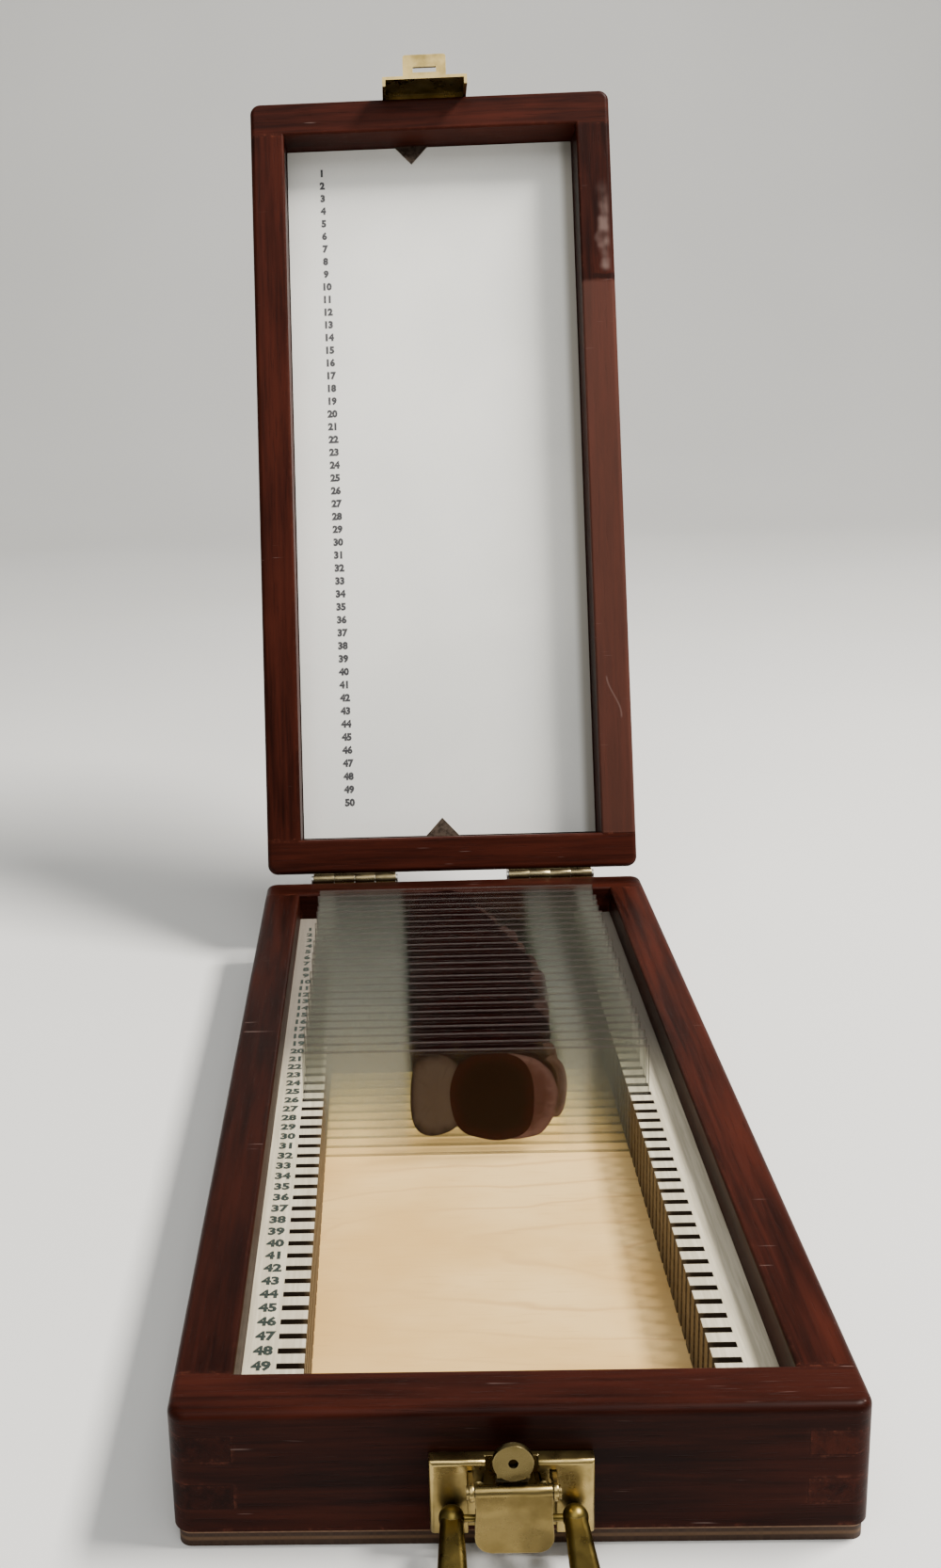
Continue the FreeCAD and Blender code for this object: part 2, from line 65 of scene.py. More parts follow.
# ---- sizes and colours --------------------------------------------------------------------
SLOTS = 50
SLOT_PITCH = 4.02 * MM
LAST_SLOT = 17.3 * MM       # from the base's front face to the middle of slot 50
COVER = (32 * MM, 0.17 * MM, 24 * MM)    # a cover slip's width, thickness and height
COVER_X = 2.2 * MM          # how far it sits to the right of the slide's middle
FILM = 0.012 * MM           # thickness of a stained patch
FILM_STEP = 0.03 * MM       # from one patch to the next nearer one
FILM_POINTS = 72            # around a patch
FILM_RINGS = (0.0, 0.55, 0.85, 1.0)      # shares of a patch's reach, from its middle to its rim
INK = 0.012 * MM            # half the thickness of a number
CARD_SHUT_Z = 37.4 * MM     # the card's face with the lid shut
RACK_NUMBER_X = RACK_HIGH.x - 7.15 * MM
STAIN_DARK = (0.0085, 0.0019, 0.0011, 1)
STAIN_RED = (0.042, 0.0082, 0.0042, 1)
WORN_EDGE = (0.115, 0.032, 0.018, 1)
BARE_WOOD = (0.19, 0.130, 0.115, 1)
# Painted light and shade on each board of the base, as a scale on its stain colours; less is darker.
BOARD_PAINTED_LIGHT = {"front": 0.82, "back": 0.95, "left": 0.58, "right": 1.05}


# ---- node trees ---------------------------------------------------------------------------
class Graph:
    """A material's node tree, written as nested calls that return sockets."""

    def __init__(self, name):
        self.material = bpy.data.materials.new(name)
        self.material.use_nodes = True
        self.tree = self.material.node_tree
        self.tree.nodes.clear()

    def add(self, kind, inputs=None, **settings):
        node = self.tree.nodes.new(kind)
        for key, value in settings.items():
            setattr(node, key, value)
        for key, value in (inputs or {}).items():
            self.feed(node.inputs[key], value)
        return node

    def feed(self, socket, value):
        if isinstance(value, bpy.types.NodeSocket):
            self.tree.links.new(value, socket)
        else:
            socket.default_value = value

    def place(self):
        """The row frame's coordinates, which stay with a piece when it moves."""
        return self.add("ShaderNodeTexCoord").outputs["Object"]

    def lid_place(self):
        """The row frame's coordinates with the lid swung shut, so that its boards lie square."""
        turn = Matrix.Rotation(LID_ANGLE, 3, "X")
        shift = HINGE - turn @ HINGE
        return self.mapped(self.place(), location=shift, rotation=(LID_ANGLE, 0, 0))

    def mapped(self, place, location=(0, 0, 0), rotation=(0, 0, 0), scale=(1, 1, 1)):
        inputs = {"Vector": place, "Location": location, "Rotation": rotation, "Scale": scale}
        return self.add("ShaderNodeMapping", inputs).outputs["Vector"]

    def axis(self, place, name):
        return self.add("ShaderNodeSeparateXYZ", {"Vector": place}).outputs[name]

    def noise(self, place, scale, detail=3.0, roughness=0.5, distortion=0.0):
        inputs = {"Vector": place, "Scale": scale, "Detail": detail, "Roughness": roughness,
                  "Distortion": distortion}
        return self.add("ShaderNodeTexNoise", inputs).outputs["Fac"]

    def math(self, operation, a, b=0.0, c=0.0):
        node = self.add("ShaderNodeMath", operation=operation)
        for socket, value in zip(node.inputs, (a, b, c)):
            self.feed(socket, value)
        return node.outputs[0]

    def fit(self, value, low, high, out_low=0.0, out_high=1.0):
        """Maps low..high to out_low..out_high, smoothly and clamped."""
        inputs = {"Value": value, "From Min": low, "From Max": high, "To Min": out_low, "To Max": out_high}
        return self.add("ShaderNodeMapRange", inputs, interpolation_type="SMOOTHSTEP").outputs["Result"]

    def mix(self, share, a, b):
        node = self.add("ShaderNodeMix", data_type="RGBA")
        self.feed(node.inputs[0], share)
        self.feed(node.inputs[6], a)
        self.feed(node.inputs[7], b)
        return node.outputs[2]

    def bump(self, height, depth, normal=None):
        inputs = {"Height": height, "Strength": 1.0, "Distance": depth}
        if normal is not None:
            inputs["Normal"] = normal
        return self.add("ShaderNodeBump", inputs).outputs["Normal"]

    def edge(self, radius, low=0.02, high=0.25):
        """1 on convex and concave edges of about that radius, 0 on flats."""
        rounded = self.add("ShaderNodeBevel", {"Radius": radius}, samples=6).outputs["Normal"]
        true = self.add("ShaderNodeNewGeometry").outputs["Normal"]
        product = self.add("ShaderNodeVectorMath", {0: rounded, 1: true}, operation="DOT_PRODUCT")
        return self.fit(self.math("SUBTRACT", 1.0, product.outputs["Value"]), low, high)

    def principled(self, **inputs):
        named = {key.replace("_", " "): value for key, value in inputs.items()}
        return self.add("ShaderNodeBsdfPrincipled", named).outputs["BSDF"]

    def blend(self, share, a, b):
        return self.add("ShaderNodeMixShader", {0: share, 1: a, 2: b}).outputs[0]

    def done(self, shader):
        self.add("ShaderNodeOutputMaterial", {"Surface": shader})
        return self.material


# ---- wood ---------------------------------------------------------------------------------
def along_scale(axis, along, across):
    return tuple(along if i == axis else across for i in range(3))


def darker(colour, share):
    return tuple(share * value for value in colour[:3]) + (1,)


def stained_wood(name, axis, lid=False, seed=0.0, worn=False, painted_light=1.0):
    """Mahogany stain and satin varnish over close-grained wood, with the grain along one axis."""
    g = Graph(name)
    place = g.lid_place() if lid else g.place()
    place = g.mapped(place, location=(0.31 * seed, 0.17 * seed, 0.23 * seed))
    clouds = g.noise(g.mapped(place, scale=along_scale(axis, 14, 70)), 1.0, 4, 0.6)
    streaks = g.noise(g.mapped(place, scale=along_scale(axis, 26, 620)), 1.0, 4, 0.65, 0.4)
    pores = g.noise(g.mapped(place, scale=along_scale(axis, 130, 2600)), 1.0, 2, 0.6)
    tone = g.math("ADD", g.math("MULTIPLY", clouds, 0.55), g.math("MULTIPLY", streaks, 0.45))
    # each board's painted light and shade scales the stain colours
    colour = g.mix(g.fit(tone, 0.34, 0.68), darker(STAIN_DARK, painted_light), darker(STAIN_RED, painted_light))
    pore = g.fit(pores, 0.60, 0.70)
    colour = g.mix(g.math("MULTIPLY", pore, 0.35), colour, (0.009, 0.0025, 0.0016, 1))
    colour = rubbed_edges(g, place, colour, painted_light)
    mark = scratches(g, place)
    if worn:
        mark = g.math("MAXIMUM", mark, rail_scuffs(g))
        colour = rail_wear(g, colour)
    colour = g.mix(g.math("MULTIPLY", mark, 0.60), colour, BARE_WOOD)
    height = g.math("SUBTRACT", g.math("MULTIPLY", streaks, 0.35), g.math("MULTIPLY", pore, 0.6))
    rough = g.fit(clouds, 0.3, 0.7, 0.34, 0.48)
    rough = g.math("ADD", rough, g.math("MULTIPLY", mark, 0.25))
    normal = g.bump(height, 0.04 * MM)
    return g.done(g.principled(Base_Color=colour, Roughness=rough, Normal=normal, Specular_IOR_Level=0.05))


def rubbed_edges(g, place, colour, painted_light):
    """Thinner stain beside the edges, broken up, and a dark line along the edges themselves."""
    chips = g.noise(place, 420, 4, 0.7)
    seam = g.edge(0.25 * MM, 0.05, 0.22)
    wear = g.math("MULTIPLY", g.edge(1.6 * MM, 0.01, 0.14), g.math("SUBTRACT", 1.0, seam))
    wear = g.math("MULTIPLY", wear, g.fit(chips, 0.50, 0.68, 0.05, 0.80))
    # the board's painted light and shade also scales the worn edges
    colour = g.mix(wear, colour, darker(WORN_EDGE, painted_light))
    return g.mix(g.math("MULTIPLY", seam, 0.7), colour, (0.004, 0.0015, 0.001, 1))


def scratches(g, place):
    """Fine slanting scratches, in patches."""
    slanted = g.mapped(place, rotation=(0.2, 0.35, 0.9), scale=(90, 2400, 2400))
    lines = g.fit(g.noise(slanted, 1.0, 1, 0.4), 0.735, 0.79)
    patches = g.fit(g.noise(place, 45, 2, 0.5), 0.52, 0.64)
    return g.math("MULTIPLY", lines, patches)


def rail_scuffs(g):
    """Pale patches by the right rail's outer edge near its free end, and a curved scrape lower down."""
    place = g.lid_place()
    x, y = g.axis(place, "X"), g.axis(place, "Y")
    ends = g.math("MULTIPLY", g.fit(y, -90 * MM, -76 * MM), g.fit(y, -59.8 * MM, -62.5 * MM))
    wander = g.math("MULTIPLY", g.math("SUBTRACT", g.noise(place, 190, 1, 0.4), 0.5), 5 * MM)
    inner = g.fit(g.math("ADD", x, wander), 48.8 * MM, 50.8 * MM)
    outer = g.fit(x, 53.2 * MM, 51.8 * MM)
    near = g.math("MULTIPLY", ends, g.math("MULTIPLY", inner, outer))
    rubbed = g.fit(g.noise(g.mapped(place, scale=(260, 240, 260)), 1.0, 1, 0.4), 0.30, 0.66, 0.15, 0.85)
    return g.math("MAXIMUM", g.math("MULTIPLY", near, rubbed), g.math("MULTIPLY", scrape(g, x, y), 0.45))


def scrape(g, x, y):
    """A thin line, about 12 mm long, that bends a little."""
    turn = g.math("MULTIPLY", g.math("SUBTRACT", y, 66 * MM), 260.0)
    bent = g.math("ADD", 49 * MM, g.math("MULTIPLY", 2 * MM, g.math("SINE", turn)))
    line = g.fit(g.math("ABSOLUTE", g.math("SUBTRACT", x, bent)), 0.35 * MM, 0.1 * MM)
    ends = g.math("MULTIPLY", g.fit(y, 60 * MM, 61 * MM), g.fit(y, 73 * MM, 72 * MM))
    return g.math("MULTIPLY", line, ends)


def rail_wear(g, colour):
    """A dark line across the rail's rim; from there to the hinges the rim is lighter."""
    place = g.lid_place()
    x, y = g.axis(place, "X"), g.axis(place, "Y")
    on_rim = g.fit(g.axis(place, "Z"), RIM_Z + 2.5 * MM, RIM_Z + 1.0 * MM)
    wander = g.math("MULTIPLY", g.math("SUBTRACT", g.noise(place, 300, 2, 0.5), 0.5), 1.5 * MM)
    y = g.math("ADD", y, wander)
    thin = g.math("MULTIPLY", g.fit(y, -59 * MM, -57 * MM, 0.0, 0.40), on_rim)
    colour = g.mix(thin, colour, (0.105, 0.045, 0.034, 1))
    from_line = g.math("ABSOLUTE", g.math("ADD", y, 59.3 * MM))
    dark_line = g.math("MULTIPLY", g.fit(from_line, 1.1 * MM, 0.5 * MM), g.fit(x, 46.5 * MM, 48 * MM))
    dark_line = g.math("MULTIPLY", g.math("MULTIPLY", dark_line, on_rim), 0.8)
    return g.mix(dark_line, colour, (0.010, 0.003, 0.002, 1))


def birch_plywood():
    """Pale birch with fine flecks and a few long cathedral lines; its edge shows the plies."""
    g = Graph("birch_plywood")
    place = g.place()
    flecks = g.noise(g.mapped(place, scale=(110, 1500, 1500)), 1.0, 3, 0.6)
    clouds = g.noise(g.mapped(place, scale=(18, 34, 34)), 1.0, 4, 0.55)
    line = g.math("MULTIPLY", growth_lines(g, place), g.fit(clouds, 0.40, 0.62, 0.15, 0.8))
    face = g.mix(g.fit(clouds, 0.32, 0.70), (0.62, 0.385, 0.130, 1), (0.76, 0.52, 0.215, 1))
    face = g.mix(g.math("MULTIPLY", line, 0.55), face, (0.42, 0.225, 0.075, 1))
    face = g.mix(g.fit(flecks, 0.57, 0.72, 0.0, 0.28), face, (0.50, 0.29, 0.105, 1))
    level = g.math("ABSOLUTE", g.axis(g.add("ShaderNodeNewGeometry").outputs["Normal"], "Z"))
    colour = g.mix(g.fit(level, 0.7, 0.3), face, plies(g, place))
    height = g.math("ADD", g.math("MULTIPLY", flecks, 0.5), g.math("MULTIPLY", line, -0.3))
    return g.done(g.principled(Base_Color=colour, Roughness=g.fit(flecks, 0.3, 0.7, 0.50, 0.62),
                               Normal=g.bump(height, 0.04 * MM), Specular_IOR_Level=0.25))


def growth_lines(g, place):
    """Long narrow rings around a heart by the right wall, wavering along the grain."""
    heart_x, heart_y = 46 * MM, -41 * MM
    ring, stretch = 8.2 * MM, 0.26
    wobble = g.noise(g.mapped(place, scale=(16, 40, 40)), 1.0, 3, 0.55)
    x = g.math("SUBTRACT", g.axis(place, "X"), heart_x)
    y = g.math("SUBTRACT", g.axis(place, "Y"), heart_y)
    across = g.math("ADD", g.math("POWER", g.math("MULTIPLY", x, stretch), 2.0), g.math("POWER", y, 2.0))
    bend = g.math("MULTIPLY", g.math("SUBTRACT", wobble, 0.5), 15 * MM)
    cycle = g.math("FRACT", g.math("DIVIDE", g.math("ADD", g.math("SQRT", across), bend), ring))
    return g.fit(g.math("ABSOLUTE", g.math("SUBTRACT", cycle, 0.5)), 0.0, 0.085, 1.0, 0.0)


def plies(g, place):
    """The plywood's edge: a light upper ply, and below it dark brown with one lighter band."""
    upper_z, band_z = 2.45 * MM, 1.35 * MM
    z = g.axis(place, "Z")
    under = g.fit(z, upper_z, upper_z - 0.15 * MM)
    from_band = g.fit(g.math("ABSOLUTE", g.math("SUBTRACT", z, band_z)), 0.15 * MM, 0.45 * MM)
    ends = g.noise(g.mapped(place, scale=(900, 900, 90)), 1.0, 3, 0.7)
    lower = g.mix(from_band, (0.105, 0.055, 0.025, 1), (0.030, 0.013, 0.006, 1))
    colour = g.mix(under, (0.23, 0.125, 0.068, 1), lower)
    return g.mix(g.fit(ends, 0.35, 0.65, 0.0, 0.4), colour, (0.065, 0.033, 0.016, 1))


def rack_wood():
    """Pale sawn wood with painted shade on top beside the slides, brown on its faces and painted shade
    inside the slots.
    """
    g = Graph("rack_wood")
    place = g.place()
    grain = g.noise(g.mapped(place, scale=(1300, 60, 1300)), 1.0, 3, 0.6)
    clouds = g.noise(g.mapped(place, scale=(120, 30, 120)), 1.0, 3, 0.5)
    top = g.mix(g.fit(grain, 0.35, 0.7), (0.42, 0.375, 0.275, 1), (0.56, 0.505, 0.385, 1))
    top = g.mix(g.fit(clouds, 0.50, 0.72, 0.0, 0.35), top, (0.35, 0.305, 0.215, 1))
    # painted shade where the slides shadow the rack's top, towards the hinges
    painted_slide_shade = g.fit(g.axis(place, "Y"), LAST_SLIDE_Y - 4 * MM, LAST_SLIDE_Y + 36 * MM, 0.0, 0.88)
    top = g.mix(painted_slide_shade, top, (0.112, 0.096, 0.082, 1))
    sawn = g.mix(g.fit(grain, 0.3, 0.7), (0.074, 0.053, 0.030, 1), (0.124, 0.094, 0.058, 1))
    across = g.math("ABSOLUTE", g.axis(place, "X"))
    # painted shade inside the slots, in place of their shadow
    inside = g.fit(across, RACK_GAP + 0.3 * MM, RACK_GAP + 1.2 * MM)
    sawn = g.mix(inside, sawn, (0.030, 0.020, 0.012, 1))
    up = g.axis(g.add("ShaderNodeNewGeometry").outputs["Normal"], "Z")
    colour = g.mix(g.fit(up, 0.3, 0.8), sawn, top)
    return g.done(g.principled(Base_Color=colour, Roughness=0.62, Normal=g.bump(grain, 0.04 * MM),
                               Specular_IOR_Level=0.25))


# ---- metal, card, ink ---------------------------------------------------------------------
def brass(name, clean, tarnished):
    """Dented sheet brass, patchy from clean to tarnished, with painted brown shade in its corners, and pale
    on its edges.
    """
    g = Graph(name)
    place = g.place()
    tarnish = g.noise(place, 160, 4, 0.65)
    fine = g.noise(place, 1900, 3, 0.6)
    colour = g.mix(g.fit(tarnish, 0.42, 0.72, 0.0, 0.6), clean, tarnished)
    # painted shade: ambient occlusion darkens corners and hollows to brown
    painted_corner_shade = g.add("ShaderNodeAmbientOcclusion", {"Distance": 4 * MM}, samples=8).outputs["AO"]
    colour = g.mix(g.fit(painted_corner_shade, 0.70, 0.10, 0.0, 0.75), colour, (0.050, 0.036, 0.014, 1))
    rub = g.edge(0.25 * MM, 0.02, 0.2)
    colour = g.mix(g.math("MULTIPLY", rub, 0.45), colour, (0.66, 0.53, 0.27, 1))
    scratch = g.noise(g.mapped(place, rotation=(0, 0.4, 0), scale=(500, 500, 6000)), 1.0, 2, 0.5)
    rough = g.math("ADD", g.fit(tarnish, 0.3, 0.7, 0.20, 0.36), g.math("MULTIPLY", scratch, 0.06))
    height = g.math("ADD", g.math("MULTIPLY", tarnish, 0.5), g.math("MULTIPLY", fine, 0.05))
    dents = g.bump(g.noise(place, 150, 1, 0.4), 0.7 * MM)
    return g.done(g.principled(Base_Color=colour, Metallic=1.0, Roughness=rough,
                               Normal=g.bump(height, 0.06 * MM, dents)))


def dull_metal(name, light, dark, roughness):
    """Dark metal, patchy and slightly pitted."""
    g = Graph(name)
    patches = g.noise(g.place(), 900, 4, 0.6)
    colour = g.mix(g.fit(patches, 0.35, 0.7), light, dark)
    return g.done(g.principled(Base_Color=colour, Metallic=1.0, Roughness=roughness,
                               Normal=g.bump(patches, 0.04 * MM)))


def card_stock():
    """Matt off-white card with faint fibres and clouds, and painted shade along the margin by the right
    rail.
    """
    g = Graph("card_stock")
    place = g.lid_place()
    fibres = g.noise(g.mapped(place, scale=(1500, 420, 1500)), 1.0, 4, 0.7)
    clouds = g.noise(place, 22, 3, 0.5)
    colour = g.mix(g.fit(clouds, 0.35, 0.7), (0.80, 0.80, 0.765, 1), (0.735, 0.74, 0.71, 1))
    colour = g.mix(g.fit(fibres, 0.5, 0.8, 0.0, 0.12), colour, (0.56, 0.55, 0.49, 1))
    # painted shade: the right rail's shadow on the card, darker towards its edge
    margin = g.fit(g.axis(place, "X"), CARD_EDGE_X - 4.5 * MM, CARD_EDGE_X - 1.5 * MM, 0.0, 0.85)
    colour = g.mix(margin, colour, (0.26, 0.24, 0.20, 1))
    return g.done(g.principled(Base_Color=colour, Roughness=0.85, Normal=g.bump(fibres, 0.02 * MM)))


def ink(name, colour, faded):
    """Printed or stamped ink, paler in patches."""
    g = Graph(name)
    worn = g.fit(g.noise(g.place(), 2600, 3, 0.6), 0.50, 0.75, 0.0, 0.6)
    return g.done(g.principled(Base_Color=g.mix(worn, colour, faded), Roughness=0.6))


# ---- glass --------------------------------------------------------------------------------
def clear_glass(name, transparent):
    """A polished face of thin glass: it mirrors a little, holds some haze and lets the rest through.

    Either shader lets light through unbent. A ray may cross only a limited number of each kind, and
    the row of slides has more faces than that, so the slides share the two kinds between them.
    """
    g = Graph(name)
    tint = (0.955, 0.962, 0.945, 1)
    if transparent:
        through = g.add("ShaderNodeBsdfTransparent", {"Color": tint}).outputs[0]
    else:
        through = g.add("ShaderNodeBsdfRefraction", {"Color": tint, "IOR": 1.0, "Roughness": 0.0})
        through = through.outputs[0]
    amount, colour = glass_haze(g)
    haze = g.add("ShaderNodeBsdfDiffuse", {"Color": colour}).outputs[0]
    mirror = g.add("ShaderNodeBsdfGlossy", {"Color": (0.9, 0.95, 0.92, 1), "Roughness": 0.05}).outputs[0]
    facing = g.add("ShaderNodeLayerWeight", {"Blend": 0.5}).outputs["Facing"]
    share = g.math("MULTIPLY_ADD", g.math("POWER", facing, 5.0), 0.96, 0.007)
    return g.done(g.blend(share, g.blend(amount, through, haze), mirror))


def glass_haze(g):
    """The haze's amount and colour.

    Least at the cover slip, it grows towards the ends and hinges; painted shade darkens it there and by the
    right rack.
    """
    place = g.place()
    x = g.axis(place, "X")
    from_cover = g.math("ABSOLUTE", g.math("SUBTRACT", x, COVER_X))
    smear = g.fit(g.noise(g.mapped(place, scale=(90, 40, 300)), 1.0, 3, 0.6), 0.3, 0.75, 0.75, 1.25)
    to_hinges = g.fit(g.axis(place, "Y"), 0.0, 95 * MM)
    amount = g.math("MULTIPLY", g.fit(from_cover, 15.5 * MM, 19.0 * MM, 0.004, 0.082), smear)
    amount = g.math("MULTIPLY", amount, g.math("ADD", 1.0, to_hinges))
    ends = g.fit(g.math("ABSOLUTE", x), 32.5 * MM, 34.5 * MM)
    amount = g.math("ADD", amount, g.math("MULTIPLY", ends, 0.09))
    # painted shadow of the right rack and wall, seen through the glass
    from_band = g.math("ABSOLUTE", g.math("SUBTRACT", x, 30.5 * MM))
    painted_rack_shadow = g.math("MULTIPLY", g.fit(from_band, 6.5 * MM, 3 * MM), 0.75)
    # painted shade: the haze's colour darkens towards the hinges, at the ends and by the right rack
    colour = g.mix(to_hinges, (0.50, 0.495, 0.455, 1), (0.185, 0.19, 0.165, 1))
    colour = g.mix(painted_rack_shadow, colour, (0.085, 0.083, 0.065, 1))
    colour = g.mix(ends, colour, (0.24, 0.24, 0.205, 1))
    return amount, colour


def ground_edge():
    """The cut edge of a slide: more than half clear, with a dark brown frost."""
    g = Graph("ground_edge")
    frost = g.noise(g.place(), 2400, 3, 0.6)
    colour = g.mix(g.fit(frost, 0.3, 0.7), (0.030, 0.019, 0.017, 1), (0.064, 0.044, 0.040, 1))
    matt = g.principled(Base_Color=colour, Roughness=0.35, Normal=g.bump(frost, 0.03 * MM),
                        Specular_IOR_Level=0.15)
    through = g.add("ShaderNodeBsdfTransparent", {"Color": (0.80, 0.84, 0.79, 1)}).outputs[0]
    return g.done(g.blend(0.42, through, matt))


def tissue(name, core, rim, density):
    """A stained section: dense in the middle, thinner and in another colour at its ragged rim."""
    g = Graph(name)
    uv = g.add("ShaderNodeTexCoord").outputs["UV"]
    out = g.axis(uv, "X")
    cells = g.noise(g.place(), 1700, 4, 0.65)
    threads = g.noise(g.mapped(uv, scale=(1.2, 34, 1)), 1.0, 3, 0.6)
    folds = g.noise(g.place(), 420, 4, 0.6, 0.6)
    ragged = g.math("ADD", out, g.math("MULTIPLY", g.math("SUBTRACT", folds, 0.5), 0.35))
    colour = g.mix(g.fit(ragged, 0.70, 1.02), core, rim)
    colour = g.mix(g.fit(cells, 0.45, 0.75, 0.0, 0.25), colour, rim)
    solid = g.fit(ragged, 0.88, 1.08, density, 0.45 * density)
    between_threads = 1.0 if density > 0.9 else 0.75
    solid = g.math("MULTIPLY", solid, g.fit(threads, 0.52, 0.72, 1.0, between_threads))
    body = g.add("ShaderNodeBsdfDiffuse", {"Color": colour}).outputs[0]
    through = g.add("ShaderNodeBsdfTransparent", {"Color": g.mix(0.5, colour, rim)}).outputs[0]
    return g.done(g.blend(solid, through, body))


# ---- mesh helpers -------------------------------------------------------------------------
def new_object(name, mesh, body, materials):
    piece = bpy.data.objects.new(name, mesh)
    bpy.context.scene.collection.objects.link(piece)
    for material in materials:
        mesh.materials.append(material)
    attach(piece, body)
    return piece


def finish_mesh(name, bm):
    bmesh.ops.recalc_face_normals(bm, faces=bm.faces)
    mesh = bpy.data.meshes.new(name)
    bm.to_mesh(mesh)
    bm.free()
    return mesh


def rectangle(bm, x0, x1, z0, z1, y):
    return [bm.verts.new((x, y, z)) for x, z in ((x0, z0), (x1, z0), (x1, z1), (x0, z1))]


def add_pane(bm, low, high, cover_x, cover_z):
    """A slide with its cover slip as one closed skin. Index 0 is polished, index 1 is the cut edge."""
    chamfer = 0.12 * MM
    face_y = low.y + COVER[1]
    cover = (cover_x - COVER[0] / 2, cover_x + COVER[0] / 2, cover_z - COVER[2] / 2, cover_z + COVER[2] / 2)
    inset = (low.x + chamfer, high.x - chamfer, low.z + chamfer, high.z - chamfer)
    full = (low.x, high.x, low.z, high.z)
    rings = [rectangle(bm, *cover, low.y), rectangle(bm, *cover, face_y), rectangle(bm, *inset, face_y),
             rectangle(bm, *full, face_y + chamfer), rectangle(bm, *full, high.y - chamfer),
             rectangle(bm, *inset, high.y)]
    polished_step = 1
    for step, (near, far) in enumerate(zip(rings, rings[1:])):
        for i in range(4):
            j = (i + 1) % 4
            side = bm.faces.new((near[i], near[j], far[j], far[i]))
            side.material_index = 0 if step == polished_step else 1
    bm.faces.new(rings[0])
    bm.faces.new(rings[-1])


def film_ring(bm, centre, radii, waves, share, depth):
    """Points around a patch at a share of its reach, between an ellipse and a rounded rectangle."""
    ring = []
    for i in range(FILM_POINTS):
        a = 2 * math.pi * i / FILM_POINTS
        reach = 1 + sum(amount * math.sin(k * a + phase) for k, phase, amount in waves)
        square = (abs(math.cos(a)) ** 4 + abs(math.sin(a)) ** 4) ** -0.25
        reach *= 0.5 + 0.5 * square
        ring.append(bm.verts.new((centre.x + share * reach * radii[0] * math.cos(a),
                                  centre.y + depth,
                                  centre.z + share * reach * radii[1] * math.sin(a))))
    return ring


def add_film(bm, centre, radii, thickness, lobes, material_index, seed):
    """A thin closed sheet with a wavy outline. U runs from 0 inside to 1 at the rim, V once around."""
    rng = random.Random(seed)
    waves = [(k, rng.uniform(0, 2 * math.pi), amount * rng.uniform(0.6, 1.2)) for k, amount in lobes]
    count, rings = FILM_POINTS, FILM_RINGS
    uv = bm.loops.layers.uv.verify()
    sheets = []
    for side in (-1, 1):
        depth = side * thickness / 2
        circles = [film_ring(bm, centre, radii, waves, share, depth) for share in rings[1:]]
        hub = bm.verts.new((centre.x, centre.y + depth, centre.z))
        sheets.append((hub, circles))

    def face(verts, values, turns):
        made = bm.faces.new(verts)
        made.material_index = material_index
        for loop, value, turn in zip(made.loops, values, turns):
            loop[uv].uv = (value, turn / count)

    for hub, circles in sheets:
        for i in range(count):
            j = (i + 1) % count
            face((hub, circles[0][i], circles[0][j]), (0, rings[1], rings[1]), (i, i, i + 1))
            for k in range(len(circles) - 1):
                face((circles[k][i], circles[k + 1][i], circles[k + 1][j], circles[k][j]),
                     (rings[k + 1], rings[k + 2], rings[k + 2], rings[k + 1]), (i, i, i + 1, i + 1))
    for i in range(count):
        j = (i + 1) % count
        front, back = sheets[0][1][-1], sheets[1][1][-1]
        face((front[i], front[j], back[j], back[i]), (1, 1, 1, 1), (i, i + 1, i + 1, i))


# ---- slides -------------------------------------------------------------------------------
def section_shape(number, rng):
    """Each slide's stained patches, nearest last.

    A patch is (centre x, centre z, half width, half height, lobes, kind), and the last slide has its own.
    """
    if number == len(SLIDE_NAMES):
        return [(-8.6 * MM, 17.9 * MM, 6.0 * MM, 9.7 * MM, ((2, 0.04), (3, 0.03)), "film"),
                (6.6 * MM, 17.2 * MM, 11.2 * MM, 10.3 * MM, ((2, 0.02), (5, 0.02), (13, 0.012)), "rim"),
                (3.75 * MM, 17.3 * MM, 9.15 * MM, 10.7 * MM, ((2, 0.02), (3, 0.02), (7, 0.008)), "core")]
    wider = min(1.0, (number - 1) / 9)    # the first ten sections reach further and further right
    left = (-13.4 + rng.uniform(-0.5, 0.5)) * MM
    right = (6.5 + 11.5 * wider + rng.uniform(-0.8, 0.8)) * MM
    top = (27.8 + rng.uniform(-0.3, 0.1)) * MM
    bottom = (6.0 + rng.uniform(0, 2)) * MM
    middle_z = (top + bottom) / 2
    lobes = ((2, 0.02), (3, 0.02), (5, 0.015), (9, 0.008))
    shapes = [((left + right) / 2, middle_z, (right - left) / 2, (top - bottom) / 2, lobes, "core")]
    if rng.random() < 0.5:
        shapes.insert(0, (right - 1.0 * MM, middle_z, rng.uniform(2, 3.5) * MM,
                          rng.uniform(6, 8) * MM, ((2, 0.05), (4, 0.05)), "rim"))
    return shapes


def slide(name, number, glass, edge, stains):
    """A slide and its cover slip as one glass piece, with the stained section inside the cover slip."""
    label = "%02d" % number
    low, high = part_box(name)
    rng = random.Random(100 + number)
    middle_x = (low.x + high.x) / 2
    shift = rng.uniform(-0.4, 0.4) * MM
    bm = bmesh.new()
    add_pane(bm, low, high, middle_x + COVER_X + shift, (low.z + high.z) / 2 + shift / 2)
    pane = new_object("glass_" + label, finish_mesh("glass_" + label, bm), name, (glass, edge))
    pane.visible_shadow = False
    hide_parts(name)
    bm = bmesh.new()
    kinds = {"core": 0, "rim": 1, "film": 2}
    for layer, (x, z, half_w, half_h, lobes, kind) in enumerate(section_shape(number, rng)):
        at = Vector((x + middle_x, low.y + COVER[1] - FILM_STEP * (layer + 1), z))
        add_film(bm, at, (half_w, half_h), FILM, lobes, kinds[kind], 31 * number + layer)
    new_object("section_" + label, finish_mesh("section_" + label, bm), name, stains)


